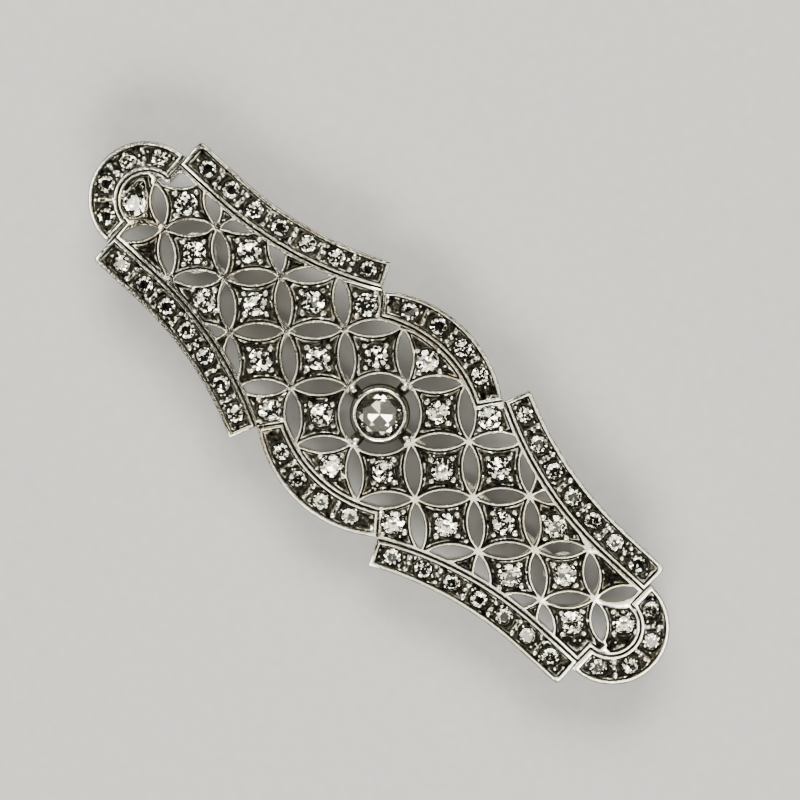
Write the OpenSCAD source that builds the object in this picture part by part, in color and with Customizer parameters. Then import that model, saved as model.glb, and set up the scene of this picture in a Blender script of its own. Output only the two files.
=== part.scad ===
// Mantilla brooch: a pierced silver plaque set with one large and many small cut stones.
// Millimetres. +Z is the front, X the long axis; it lies on its pin fitting at z = 0.
// The pattern looks the same after half a turn about Z, so every row also serves its opposite.
// Only one lens, in the corner at the right-hand end, is a sunk pocket and not an opening.

/* [Plaque] */
// Thickness of the silver plaque
plaque_t = 1.8; // [1.6:0.1:2.4]
// Height of the plaque's back above the surface that it lies on
back_z = 4.2; // [3.6:0.1:5.5]
// Depth of the sunk floors behind the stones
sink = 0.45; // [0.3:0.05:0.6]
// Width of the bright rim along each band
rim_w = 0.38; // [0.3:0.02:0.5]
// Width of the strip that frames the lattice
frame_w = 0.4; // [0.3:0.02:0.5]
// Width of the fine groove between that strip and a band's rim
groove_w = 0.14; // [0.1:0.01:0.16]
// Depth of the fine groove
groove_d = 0.25; // [0.15:0.05:0.4]

/* [Bands of stones] */
// Distance from the centre to the outer end of a side band
band_end = 29.45; // [29:0.05:30]
// Distance from the centre at which a side band starts to sweep outward
band_bend = 24.5; // [23:0.5:26]
// Outer edge of a side band where it runs straight
band_outer = 7.48; // [7.3:0.02:7.7]
// Inner edge of a side band where it runs straight
band_inner = 4.56; // [4.4:0.02:4.7]
// Radius of the sweep of both edges
band_sweep = 35; // [34:0.5:36]
// Radius of both edges of a middle arch
arch_r = 12.33; // [12.2:0.01:12.5]
// Height of a middle arch's crown
arch_crown = 11.3; // [11.2:0.05:11.4]
// Width of a middle arch at its crown
arch_w = 2.92; // [2.8:0.02:3]
// Half of the angle that a middle arch spans
arch_half = 38; // [37:0.5:39]
// Outer radius of the round band at each end
end_r = 5.4; // [5.3:0.05:5.6]
// Inner radius of the round band at each end
end_inner = 2.82; // [2.7:0.02:2.9]
// Distance from the centre to the straight side of the end band
end_x = 29.6; // [29.5:0.1:29.9]

/* [Lattice] */
// Distance between neighbouring columns of the lattice
pitch = 3.915; // [3.88:0.005:3.95]
// Distance between neighbouring rows at the centre
row = 3.76; // [3.7:0.02:3.82]
// How much closer the rows lie 30 mm out
row_drop = 0.84; // [0.6:0.05:1]
// How far the rows lean sideways 30 mm out
row_lean = 1.12; // [0.9:0.05:1.3]
// Half of the width of a pierced opening
lens_half = 0.66; // [0.55:0.01:0.72]
// Metal left between the tip of an opening and its crossing
tip_gap = 0.36; // [0.3:0.02:0.5]
// Width of the thin rim round a cell
cell_rim = 0.27; // [0.22:0.01:0.32]
// Radius of the flat pad on each crossing
pad_r = 0.42; // [0.35:0.01:0.5]

/* [Centre] */
// Radius of the opening round the collet
ring_r = 3.72; // [3.66:0.02:3.8]
// Outer radius of the collet at its top
collet_r = 2.52; // [2.45:0.01:2.6]
// How much wider the collet is where it meets the plaque
collet_flare = 0.3; // [0.1:0.05:0.35]
// Height of the collet above the plaque
collet_h = 1.2; // [0.9:0.1:1.5]
// Width of a bridge at the collet
bridge_w = 0.7; // [0.6:0.05:0.9]

/* [Stones] */
// Diameter of the centre stone
centre_d = 4.16; // [4:0.02:4.2]
// Diameter of a stone in the lattice
cell_d = 2.2; // [2.1:0.02:2.24]
// Diameter of a stone in a band
band_d = 1.62; // [1.5:0.02:1.7]
// Play between a stone and its seat
play = 0.05; // [0.03:0.01:0.07]
// Radius of a grain beside a lattice stone
grain_r = 0.26; // [0.2:0.01:0.28]
// Radius of a grain beside a band stone
band_grain_r = 0.24; // [0.2:0.01:0.26]

/* [Pin fitting] */
// Radius of the round foot behind a cell
foot_r = 1.9; // [1.7:0.05:2]
// Radius of the pin stem
stem_r = 0.45; // [0.4:0.05:0.5]
// Height of the stem's axis above the surface
stem_z = 1.25; // [1.2:0.05:1.35]
// Length of the hinge knuckle
knuckle_l = 3.4; // [3:0.1:3.5]
// Width of the hinge knuckle
knuckle_w = 1.8; // [1.6:0.1:1.8]

/* [Hidden] */
$fn = 96;
eps = 0.02;
front_z = back_z + plaque_t;
floor_z = front_z - sink;
collet_z = front_z + collet_h;

// Middle line and sweep centres of the side bands.
band_mid = (band_outer + band_inner) / 2;
sweep_out_y = band_outer + band_sweep;
sweep_in_y = band_inner + band_sweep;
cut_low = [7.95, 9.17];
cut_high = [8.75, 10.96];
corner_r = 0.45;
arch_y = arch_crown - arch_r;
arch_in_y = arch_y - arch_w;
end_ring_x = 29.45;
far = 14;

// Lattice rows and columns; a cell with an even sum holds a stone, an odd sum is a crossing.
reach = 30;
squeeze = 0.00235;
top_row_y = 6.68;
rim_keep = 1.65;
last_column = 8;
last_row = 3;
corner_crossing = [29.3, 4.6];
pocket_from = [7, -2];
sliver = 0.6;

// Seats of one half: column, row. The other half is the same after half a turn.
SEAT_CELLS = [[2, 0], [4, 0], [6, 0], [8, 0], [1, 1], [3, 1], [5, 1], [-1, 1], [-3, 1], [-5, 1],
    [-7, 1], [0, 2], [2, 2], [-2, 2]];
seat_count = len(SEAT_CELLS);

// Stones along the bands: count, first place and spacing.
band_stones = 7;
band_first_x = 27.3;
band_step = 2.886;
arch_stones = 4;
arch_step = 16;
end_stones = 4;
end_step = 43;
end_stone_r = 4.08;

// Cut of a stone as parts of its radius.
girdle_t = 0.06;
crown_h = 0.32;
pavilion_h = 0.82;
table_r = 0.54;
star_r = 0.76;
lower_r = 0.3;
small_table_r = 0.56;
facets = 8;
seat_lift = 0.06;

// Heights of the three kinds of girdle.
cell_girdle_z = floor_z + seat_lift;
centre_girdle_z = collet_z - 0.28;
grain_gap = 0.04;
grain_out = cell_d / 2 + play + grain_gap + grain_r;
band_grain_out = 0.64;
foot_t = 0.7;
foot_gap = 0.03;
hook_r = 1.45;
hook_in_r = 0.75;
hook_l = 1.8;
neck_w = 1.5;
stem_tip_l = 1.6;

function two(i) = i < 10 ? str("0", i) : str(i);
function stone_name(i) = str("lattice_stone_", two(i));
function sign_of(v) = v < 0 ? -1 : 1;

lattice_names = [for (i = [1:2 * seat_count]) stone_name(i)];

// Places in the lattice.
function lattice_x(m) = pitch * m - squeeze * pow(m, 3);
function lattice_y(m, n) = let (t = pow(lattice_x(m) / reach, 2))
    n * (row - row_drop * t) + sign_of(m) * row_lean * t;
function grid(m, n) = [lattice_x(m), lattice_y(m, n)];

// The last crossing of the leaning rows lies in the corner of the frame.
function crossing(m, n) = m * n == last_column ? sign_of(m) * corner_crossing : grid(m, n);
function sweep(x) = x < band_bend ? band_sweep - sqrt(pow(band_sweep, 2) - pow(band_bend - x, 2)) : 0;
function rim_y(x) = abs(x) < cut_low[0] - 1.5 ? sqrt(arch_r * arch_r - x * x) + arch_in_y
    : band_inner + sweep(abs(x));

// A stone in a cell that the rim cuts sits a set distance inside the rim.
function seat_y(m, n) = let (free = abs(n) == 2 ? top_row_y : lattice_y(m, n), x = lattice_x(m))
    min(free, rim_y(x) - rim_keep);
function seat_place(i) = let (k = i <= seat_count ? i : i - seat_count, side = i <= seat_count ? 1 : -1,
    cell = SEAT_CELLS[k - 1]) side * [lattice_x(cell[0]), seat_y(cell[0], cell[1])];

// Places along the bands, in the first quadrant.
function side_place(i) = let (x = band_first_x - i * band_step) [x, band_mid + sweep(x)];
function arch_place(i) = let (a = 90 + (i - (arch_stones - 1) / 2) * arch_step, r = arch_r - arch_w / 2 + 0.05)
    [r * cos(a), arch_y + r * sin(a)];
function end_place(i) = let (a = (i - (end_stones - 1) / 2) * end_step)
    [end_ring_x + 0.1 + end_stone_r * cos(a), end_stone_r * sin(a)];

// Half a turn for the opposite of each part.
module both() {
    children();
    rotate([0, 0, 180]) children();
}

module four() {
    both() {
        children();
        mirror([1, 0, 0]) children();
    }
}

// A side band, shrunk by w on every edge; a negative w makes it larger.
module side_band(w) {
    slope = (cut_high - cut_low) / norm(cut_high - cut_low);
    inward = [slope[1], -slope[0]] * w;
    low = cut_low - slope * 2 + inward;
    high = cut_high + slope * 3 + inward;
    difference() {
        intersection() {
            polygon([low, high, [band_bend, far], [band_bend, band_outer - w],
                [band_end - w, band_outer - w], [band_end - w, band_inner + w],
                [band_bend, band_inner + w], [band_bend - far, band_inner + w]]);
            union() {
                translate([band_bend, sweep_in_y]) circle(band_sweep - w);
                translate([band_bend, 0]) square([far, far]);
            }
        }
        translate([band_bend, sweep_out_y]) circle(band_sweep + w);
        translate([band_end - w, band_outer - w]) corner();
    }
}

// The scrap that a rounded corner takes away.
module corner() {
    difference() {
        translate([-corner_r, -corner_r]) square(corner_r * 2);
        translate([-corner_r, -corner_r]) circle(corner_r);
    }
}

// A middle arch between its two radial ends.
module arch_band(w) {
    lift = arch_y + w / sin(arch_half);
    difference() {
        intersection() {
            translate([0, arch_y]) circle(arch_r - w);
            polygon([[0, lift], [far * tan(arch_half), lift + far], [-far * tan(arch_half), lift + far]]);
        }
        translate([0, arch_in_y]) circle(arch_r + w);
    }
}

// The round band at one end.
module end_band(w) {
    intersection() {
        difference() {
            translate([end_x, 0]) circle(end_r - w);
            translate([end_ring_x, 0]) circle(end_inner + w);
        }
        translate([w > 0 ? end_x + w : band_end - eps + w, -far / 2]) square([far, far]);
    }
}

module bands(w) {
    four() side_band(w);
    both() arch_band(w);
    both() end_band(w);
}

// The field between the bands, which the lattice fills.
module core() {
    quarter = [[band_end, 6], [band_bend, 6], [17, 6.8], [12, 8.25], [8.5, 8.9], [7.8, 8.8], [7.5, 8.6],
        [4, 9], [0, 9.3]];
    four() polygon(concat(quarter, [[-eps, -eps], [band_end, -eps]]));
    both() translate([end_ring_x, 0]) circle(end_inner + eps);
}

module lattice_field() {
    difference() {
        core();
        bands(-frame_w);
    }
}

// The rounded lens between two crossings, widened by grow.
module lens(p, q, grow) {
    half = norm(q - p) / 2 - tip_gap;
    r = (half * half + lens_half * lens_half) / (2 * lens_half);
    translate((p + q) / 2) rotate(atan2(q[1] - p[1], q[0] - p[0]))
        intersection() {
            translate([0, r - lens_half]) circle(r + grow);
            translate([0, lens_half - r]) circle(r + grow);
        }
}

// True for a crossing next to the collet, whose lenses are part of the round opening.
function by_collet(m, n) = abs(m) + abs(n) == 1;

// A lens is cut unless most of it would lie under the rim.
function lens_shows(p, q) = abs(p[1] + q[1]) / 2 < rim_y((p[0] + q[0]) / 2) + sliver;

module lenses() {
    for (m = [-last_column:last_column - 1], n = [-last_row:last_row], up = [-1, 1]) {
        p = crossing(m, n);
        q = crossing(m + 1, n + up);
        if ((m + n) % 2 != 0 && !(by_collet(m, n) && by_collet(m + 1, n + up)) && lens_shows(p, q)
                && [m, n] != pocket_from)
            lens(p, q, 0);
    }
}

// The sunk pocket that takes the place of one lens, open to the cell beside it.
module pocket() {
    from = crossing(pocket_from[0], pocket_from[1]);
    to = crossing(pocket_from[0] + 1, pocket_from[1] + 1);
    intersection() {
        lens(from, to, cell_rim + eps);
        lattice_field();
    }
}

// The sunk floor of one cell, inside its thin rims. The last cell has the end ring as its outer side.
module cell_floor(m, n) {
    last = abs(m) == last_column;
    out = [sign_of(m), 0];
    corners = [for (step = [[0, 1], [-1, 0], [0, -1], [1, 0]])
        last ? grid(m + step[0] * sign_of(m), n + step[1]) : crossing(m + step[0], n + step[1])];
    difference() {
        polygon(last ? [corners[0], corners[1], corners[2], corners[2] + pitch * out, corners[0] + pitch * out]
            : corners);
        for (k = last ? [0:1] : [0:3]) lens(corners[k], corners[(k + 1) % 4], cell_rim);
        for (k = last ? [0:2] : [0:3]) translate(corners[k]) circle(pad_r);
    }
}

module cell_floors() {
    difference() {
        intersection() {
            for (m = [-last_column:last_column], n = [-last_row:last_row])
                if ((m + n) % 2 == 0 && (m != 0 || n != 0) && (abs(m) < last_column || n == 0))
                    cell_floor(m, n);
            lattice_field();
        }
        circle(ring_r + cell_rim);
        for (i = [1:2 * seat_count])
            translate(seat_place(i))
                for (a = [0:90:270]) rotate(a) translate([grain_out, 0]) circle(grain_r);
    }
}

// The fine groove that follows each band where it borders the lattice.
module band_grooves() {
    difference() {
        intersection() {
            core();
            bands(-groove_w / 2);
        }
        bands(groove_w / 2);
    }
}

// The round opening about the collet, crossed by four tapered bridges.
module collet_opening() {
    difference() {
        circle(ring_r);
        circle(collet_r + collet_flare);
        for (a = [0:90:270]) rotate(a)
            polygon([[1, -bridge_w / 2], [ring_r + 1, -bridge_w], [ring_r + 1, bridge_w], [1, bridge_w / 2]]);
    }
}

// Two grains between neighbouring stones of a band: middle is between stones p and q.
module grain_pair(middle, p, q) {
    way = (q - p) / norm(q - p);
    for (side = [-1, 1])
        translate(middle + side * band_grain_out * [-way[1], way[0]]) circle(band_grain_r);
}

module band_floors() {
    difference() {
        bands(rim_w);
        four() for (i = [0:band_stones - 2]) grain_pair(side_place(i + 0.5), side_place(i), side_place(i + 1));
        both() for (i = [0:arch_stones - 2]) grain_pair(arch_place(i + 0.5), arch_place(i), arch_place(i + 1));
        both() for (i = [0:end_stones - 2]) grain_pair(end_place(i + 0.5), end_place(i), end_place(i + 1));
    }
}

// The seat of a stone: a straight wall for the girdle over a cone for the pavilion.
module seat(d, top) {
    r = d / 2 + play;
    depth = pavilion_h * d / 2;
    translate([0, 0, -eps]) cylinder(h = top + eps, r = r);
    translate([0, 0, -depth - play]) cylinder(h = depth + play - eps, r1 = play, r2 = r);
}

module seats() {
    for (i = [1:2 * seat_count]) translate(concat(seat_place(i), cell_girdle_z)) seat(cell_d, 1);
    four() for (i = [0:band_stones - 1]) translate(concat(side_place(i), cell_girdle_z)) seat(band_d, 1);
    both() for (i = [0:arch_stones - 1]) translate(concat(arch_place(i), cell_girdle_z)) seat(band_d, 1);
    both() for (i = [0:end_stones - 1]) translate(concat(end_place(i), cell_girdle_z)) seat(band_d, 1);
}

module plate() {
    difference() {
        union() {
            core();
            bands(0);
        }
        intersection() {
            lenses();
            lattice_field();
        }
        collet_opening();
    }
}

module openwork_plaque() {
    color("silver") difference() {
        union() {
            translate([0, 0, back_z]) linear_extrude(plaque_t) plate();
            translate([0, 0, front_z - eps])
                cylinder(h = collet_h + eps, r1 = collet_r + collet_flare, r2 = collet_r);
        }
        translate([0, 0, floor_z]) linear_extrude(1) {
            cell_floors();
            band_floors();
            pocket();
        }
        translate([0, 0, front_z - groove_d]) linear_extrude(1) band_grooves();
        seats();
        translate([0, 0, centre_girdle_z]) seat(centre_d, 1);
    }
}

// The pin fitting: a foot and knuckle, the stem, and a foot with a hook that holds the stem.
module foot() {
    translate([0, 0, back_z - foot_gap - foot_t]) cylinder(h = foot_t, r = foot_r);
}

module knuckle() {
    intersection() {
        union() {
            translate([0, knuckle_l / 2, stem_z]) rotate([90, 0, 0]) cylinder(h = knuckle_l, r = hook_r);
            translate([-knuckle_w / 2, -knuckle_l / 2, stem_z])
                cube([knuckle_w, knuckle_l, back_z - stem_z - foot_gap - foot_t / 2]);
        }
        translate([-knuckle_w / 2, -knuckle_l / 2, 0]) cube([knuckle_w, knuckle_l, back_z]);
    }
}

module hook() {
    intersection() {
        difference() {
            union() {
                translate([-hook_l / 2, 0, stem_z]) rotate([0, 90, 0]) cylinder(h = hook_l, r = hook_r);
                translate([-neck_w / 2, -neck_w / 2, stem_z])
                    cube([neck_w, neck_w, back_z - stem_z - foot_gap - foot_t / 2]);
            }
            translate([-hook_l, 0, stem_z]) rotate([0, 90, 0]) cylinder(h = hook_l * 2, r = hook_in_r);
            translate([-hook_l, 0, stem_z - stem_r]) cube([hook_l * 2, hook_r * 2, stem_r * 2.6]);
        }
        translate([-hook_l, -hook_r, 0]) cube([hook_l * 2, hook_r * 2, back_z]);
    }
}

module brooch_pin() {
    seat_of_foot = crossing(6, 0);
    run = norm(seat_of_foot);
    color("silver") rotate([0, 0, atan2(seat_of_foot[1], seat_of_foot[0])]) {
        translate([-run, 0, 0]) {
            foot();
            knuckle();
        }
        translate([run, 0, 0]) {
            foot();
            hook();
        }
        translate([-run, 0, 0]) {
            translate([0, 0, stem_z - hook_in_r + stem_r - eps]) rotate([0, 90, 0]) stem(2 * run);
        }
    }
}

module stem(run) {
    cylinder(h = run + hook_l, r = stem_r);
    translate([0, 0, run + hook_l]) cylinder(h = stem_tip_l, r1 = stem_r, r2 = stem_r / 3);
}

// One ring of points at equal angles.
function ring(count, r, z, turn) =
    [for (i = [0:count - 1]) [r * cos(360 * i / count + turn), r * sin(360 * i / count + turn), z]];

// A round old cut: table, stars, kites, girdle and pavilion, with its girdle's middle at z = 0.
module full_cut(d) {
    r = d / 2;
    half = 180 / facets;
    top = crown_h * r;
    edge = girdle_t * r / 2;
    kite_x = star_r * cos(half);
    star_z = edge + (top - edge) * (1 - kite_x) / (1 - table_r);
    deep = pavilion_h * r;
    lower_z = -deep + (deep - edge) * lower_r * cos(half);
    points = concat(ring(facets, table_r * r, top, 0), ring(facets, star_r * r, star_z, half),
        ring(2 * facets, r, edge, 0), ring(2 * facets, r, -edge, 0), ring(facets, lower_r * r, lower_z, half),
        [[0, 0, -deep]]);
    star0 = facets;
    up0 = 2 * facets;
    down0 = 4 * facets;
    low0 = 6 * facets;
    tip = 7 * facets;
    polyhedron(points, concat(
        [[for (i = [facets - 1:-1:0]) i]],
        [for (i = [0:facets - 1]) let (j = (i + 1) % facets) [i, j, star0 + i]],
        [for (i = [0:facets - 1]) let (k = (i + facets - 1) % facets) [i, star0 + i, up0 + 2 * i, star0 + k]],
        [for (i = [0:facets - 1]) [star0 + i, up0 + 2 * i + 1, up0 + 2 * i]],
        [for (i = [0:facets - 1]) [star0 + i, up0 + (2 * i + 2) % (2 * facets), up0 + 2 * i + 1]],
        [for (i = [0:2 * facets - 1]) let (j = (i + 1) % (2 * facets)) [up0 + i, up0 + j, down0 + j, down0 + i]],
        [for (i = [0:facets - 1]) [low0 + i, down0 + 2 * i, down0 + 2 * i + 1]],
        [for (i = [0:facets - 1]) [low0 + i, down0 + 2 * i + 1, down0 + (2 * i + 2) % (2 * facets)]],
        [for (i = [0:facets - 1]) let (k = (i + facets - 1) % facets) [tip, low0 + k, down0 + 2 * i, low0 + i]]
    ));
}

// A small stone: table, eight crown facets, girdle and eight pavilion facets.
module small_cut(d) {
    r = d / 2;
    edge = girdle_t * r / 2;
    points = concat(ring(facets, small_table_r * r, crown_h * r, 0), ring(facets, r, edge, 0),
        ring(facets, r, -edge, 0), [[0, 0, -pavilion_h * r]]);
    tip = 3 * facets;
    polyhedron(points, concat(
        [[for (i = [facets - 1:-1:0]) i]],
        [for (b = [0, facets], i = [0:facets - 1]) let (j = (i + 1) % facets) [b + i, b + j, b + facets + j, b + facets + i]],
        [for (i = [0:facets - 1]) [2 * facets + i, 2 * facets + (i + 1) % facets, tip]]
    ));
}

// Each stone is turned a little further than the last, as they lie in a hand-set piece.
module lattice_stone(i) {
    color("lightcyan") translate(concat(seat_place(i), cell_girdle_z)) rotate([0, 0, 17 * i]) full_cut(cell_d);
}

module centre_stone() {
    color("azure") translate([0, 0, centre_girdle_z]) rotate([0, 0, 11]) full_cut(centre_d);
}

module band_stone(p, i) {
    translate(concat(p, cell_girdle_z)) rotate([0, 0, 19 * i]) small_cut(band_d);
}

// The four side fields in turn: right top, left top, left bottom, right bottom.
module side_stones(k) {
    flip = k % 2 == 0 ? -1 : 1;
    color("lightblue") rotate([0, 0, k > 2 ? 180 : 0])
        for (i = [0:band_stones - 1]) let (p = side_place(i)) band_stone([flip * p[0], p[1]], i);
}

module arch_stones(k) {
    color("lightblue") rotate([0, 0, 180 * (k - 1)])
        for (i = [0:arch_stones - 1]) band_stone(arch_place(i), i);
}

module end_stones(k) {
    color("lightblue") rotate([0, 0, 180 * (k - 1)])
        for (i = [0:end_stones - 1]) band_stone(end_place(i), i);
}

openwork_plaque();
brooch_pin();
centre_stone();
for (k = [1:4]) side_stones(k);
for (k = [1:2]) arch_stones(k);
for (k = [1:2]) end_stones(k);
for (i = [1:2 * seat_count]) lattice_stone(i);
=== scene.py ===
import math
import random

import bmesh
import bpy
from mathutils import Matrix, Vector, kdtree


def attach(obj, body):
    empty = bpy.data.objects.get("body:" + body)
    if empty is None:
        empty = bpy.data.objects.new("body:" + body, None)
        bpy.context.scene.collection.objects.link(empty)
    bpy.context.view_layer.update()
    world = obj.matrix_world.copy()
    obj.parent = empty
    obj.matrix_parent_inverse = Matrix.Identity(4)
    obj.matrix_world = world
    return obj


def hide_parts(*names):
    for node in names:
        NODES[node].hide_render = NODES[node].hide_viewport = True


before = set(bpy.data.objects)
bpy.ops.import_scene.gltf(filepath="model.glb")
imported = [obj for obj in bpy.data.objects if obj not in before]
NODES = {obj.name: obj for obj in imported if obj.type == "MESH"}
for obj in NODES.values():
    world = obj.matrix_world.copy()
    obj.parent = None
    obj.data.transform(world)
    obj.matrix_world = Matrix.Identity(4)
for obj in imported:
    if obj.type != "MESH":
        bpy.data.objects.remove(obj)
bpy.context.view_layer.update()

MM = 0.001
BODY = "root"

# Heights of the plaque, in millimetres.
BACK_Z = 4.2
FLOOR_Z = 5.55
FRONT_Z = 6.0
COLLET_Z = 7.2

# Stones: radii and the heights of their girdles.
CELL_R = 1.1
BAND_R = 0.81
CENTRE_R = 2.08
GIRDLE_Z = 5.61
CENTRE_GIRDLE_Z = 6.92

# The turn of the brooch in the picture, and the picture's own right and up.
PICTURE_TURN = math.radians(42.63)
PICTURE_RIGHT = Vector((math.cos(PICTURE_TURN), math.sin(PICTURE_TURN), 0))
PICTURE_UP = Vector((-math.sin(PICTURE_TURN), math.cos(PICTURE_TURN), 0))

# The camera: the point it looks at, the width it sees there, its lens and sensor in millimetres, its leans,
# and the nearest and farthest that it sees, in metres.
AIM = Vector((0.49, 2.25, 6.0)) * MM
PICTURE_WIDTH = 74.8 * MM
LENS = 100
SENSOR = 36
CAMERA_LEAN = math.radians(2.8)
CAMERA_SIDE = math.radians(0.66)
CLIP_NEAR = 0.01
CLIP_FAR = 10

chance = random.Random(11)


def make_camera():
    """Looks down on the front, leaning a little towards the upper edge of the picture."""
    data = bpy.data.cameras.new("camera")
    data.lens = LENS
    data.sensor_width = SENSOR
    away = PICTURE_WIDTH * LENS / SENSOR
    back = PICTURE_UP * math.tan(CAMERA_LEAN) + PICTURE_RIGHT * math.tan(CAMERA_SIDE) + Vector((0, 0, 1))
    back.normalize()
    right = (PICTURE_RIGHT - back * PICTURE_RIGHT.dot(back)).normalized()
    camera = bpy.data.objects.new("camera", data)
    turn = Matrix((right, back.cross(right), back)).transposed().to_4x4()
    camera.matrix_world = Matrix.Translation(AIM + back * away) @ turn
    data.clip_start = CLIP_NEAR
    data.clip_end = CLIP_FAR
    bpy.context.scene.collection.objects.link(camera)
    bpy.context.scene.camera = camera


def only(*pieces):
    """Leaves these pieces selected and nothing else."""
    if bpy.context.object and bpy.context.object.mode != "OBJECT":
        bpy.ops.object.mode_set(mode="OBJECT")
    bpy.ops.object.select_all(action="DESELECT")
    for piece in pieces:
        piece.select_set(True)
    bpy.context.view_layer.objects.active = pieces[0]


def shape(piece):
    """Opens a piece in edit mode with nothing selected."""
    only(piece)
    bpy.ops.object.mode_set(mode="EDIT")
    bpy.ops.mesh.select_mode(type="FACE")
    bpy.ops.mesh.select_all(action="DESELECT")


def done(piece):
    """Closes edit mode and puts the piece's place into its mesh."""
    only(piece)
    bpy.ops.object.transform_apply(location=True, rotation=True, scale=True)
    return piece


def pick(test):
    """Selects the faces that the test is true for."""
    mesh = bmesh.from_edit_mesh(bpy.context.object.data)
    for face in mesh.faces:
        face.select_set(bool(test(face)))
    bmesh.update_edit_mesh(bpy.context.object.data)


def smooth(piece, angle):
    """Shades a piece smooth, with edges sharper than this many degrees left crisp."""
    only(piece)
    bpy.ops.object.shade_smooth_by_angle(angle=math.radians(angle))


def copy_of(master, matrix):
    """A copy with its own mesh, whose place is in the mesh."""
    copy = bpy.data.objects.new(master.name, master.data.copy())
    copy.data.transform(matrix)
    bpy.context.scene.collection.objects.link(copy)
    return copy


def joined(parts, name):
    """One piece from many copies."""
    only(*parts)
    bpy.ops.object.join()
    piece = bpy.context.object
    piece.name = name
    piece.data.name = name
    return piece


def drop(*pieces):
    """Removes masters that have been copied."""
    for piece in pieces:
        bpy.data.objects.remove(piece)


def dress(piece, material):
    """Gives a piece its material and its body."""
    piece.data.materials.clear()
    piece.data.materials.append(material)
    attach(piece, BODY)


def at(x, y, z, turn, size, lean=0.0, lean_way=0.0):
    """A place in millimetres with a turn about Z and a small lean, in degrees."""
    tip = Matrix.Rotation(math.radians(lean_way), 4, "Z") @ Matrix.Rotation(math.radians(lean), 4, "X")
    tip = tip @ Matrix.Rotation(math.radians(-lean_way), 4, "Z")
    return (
        Matrix.Translation(Vector((x, y, z)) * MM)
        @ tip
        @ Matrix.Rotation(math.radians(turn), 4, "Z")
        @ Matrix.Scale(size, 4)
    )


# The lattice, from the same values as the solids, in millimetres.
PITCH = 3.915
ROW = 3.76
ROW_DROP = 0.84
ROW_LEAN = 1.12
REACH = 30
SQUEEZE = 0.00235
TOP_ROW_Y = 6.68
RIM_KEEP = 1.65
FRAME_W = 0.4
LENS_HALF = 0.66
TIP_GAP = 0.36
CELL_RIM = 0.27
PAD_R = 0.42
RING_R = 3.72

# The side bands: their ends, edges, sweep, slanting cut and stones.
BAND_END = 29.45
BAND_BEND = 24.5
BAND_OUTER = 7.48
BAND_INNER = 4.56
BAND_SWEEP = 35
CUT_LOW = Vector((7.95, 9.17))
CUT_WAY = Vector((1.79, -0.8)).normalized()
SIDE_STONES = 7
SIDE_FIRST_X = 27.3
SIDE_STEP = 2.886

# The middle arches: both edges are arcs of one radius, a band's width apart.
ARCH_R = 12.33
ARCH_W = 2.92
ARCH_Y = 11.3 - ARCH_R
ARCH_IN_Y = ARCH_Y - ARCH_W
ARCH_X = 6.45
ARCH_HALF = math.radians(38)
ARCH_STONES = 4
ARCH_STONE_R = ARCH_R - ARCH_W / 2 + 0.05
ARCH_STEP = 16

# The round bands at the ends.
END_X = 29.45
END_INNER = 2.82
END_OUTER = 5.4
END_OUTER_X = 29.6
END_STONES = 4
END_STONE_X = END_X + 0.1
END_STONE_R = 4.08
END_STEP = 43

# Rim of every band, and play between a stone and its seat.
RIM_W = 0.38
PLAY = 0.05

# Column and row of each cell with a stone in one half. The other half is the same after half a turn.
SEAT_CELLS = (
    (2, 0), (4, 0), (6, 0), (8, 0), (1, 1), (3, 1), (5, 1),
    (-1, 1), (-3, 1), (-5, 1), (-7, 1), (0, 2), (2, 2), (-2, 2),
)


def lattice_x(m):
    """The columns close up a little towards the ends."""
    return PITCH * m - SQUEEZE * m**3


def lattice_y(m, n):
    """The rows close up and drift sideways towards the ends."""
    t = (lattice_x(m) / REACH) ** 2
    return n * (ROW - ROW_DROP * t) + (-1 if m < 0 else 1) * ROW_LEAN * t


def sweep(x):
    """How far a side band has swung outwards at x."""
    return BAND_SWEEP - math.sqrt(BAND_SWEEP**2 - (BAND_BEND - x) ** 2) if x < BAND_BEND else 0


def rim_y(x):
    """The inner edge of the bands above x."""
    if abs(x) < ARCH_X:
        return math.sqrt(ARCH_R**2 - x * x) + ARCH_IN_Y
    return BAND_INNER + sweep(abs(x))


def seat_place(m, n):
    """A cell's stone, kept clear of the bands' inner edge."""
    x = lattice_x(m)
    free = TOP_ROW_Y if abs(n) == 2 else lattice_y(m, n)
    return x, min(free, rim_y(x) - RIM_KEEP)


def side_place(i):
    x = SIDE_FIRST_X - i * SIDE_STEP
    return x, (BAND_OUTER + BAND_INNER) / 2 + sweep(x)


def arch_place(i):
    a = math.radians(90 + (i - (ARCH_STONES - 1) / 2) * ARCH_STEP)
    return ARCH_STONE_R * math.cos(a), ARCH_Y + ARCH_STONE_R * math.sin(a)


def end_place(i):
    a = math.radians((i - (END_STONES - 1) / 2) * END_STEP)
    return END_STONE_X + END_STONE_R * math.cos(a), END_STONE_R * math.sin(a)


def turned(x, y, half):
    """The same place, or its opposite after half a turn."""
    return (-x, -y) if half else (x, y)


STONE_CELLS = [turned(m, n, half) for half in (0, 1) for m, n in SEAT_CELLS]
LATTICE_PLACES = [turned(*seat_place(m, n), half) for half in (0, 1) for m, n in SEAT_CELLS]

# The stone at the left-hand end is a pear: its number, the way its tip points, its length and how much it
# narrows, its girdle's height, how deep its keel is from the tip to the round end, and its outline's steps.
PEAR = 18
PEAR_TURN = 113.6
PEAR_LENGTH = 2.09
PEAR_NARROWS = 0.25
PEAR_GIRDLE_Z = 5.86
PEAR_KEEL = 0.25
PEAR_KEEL_DROP = 0.6
PEAR_STEPS = 120

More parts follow.
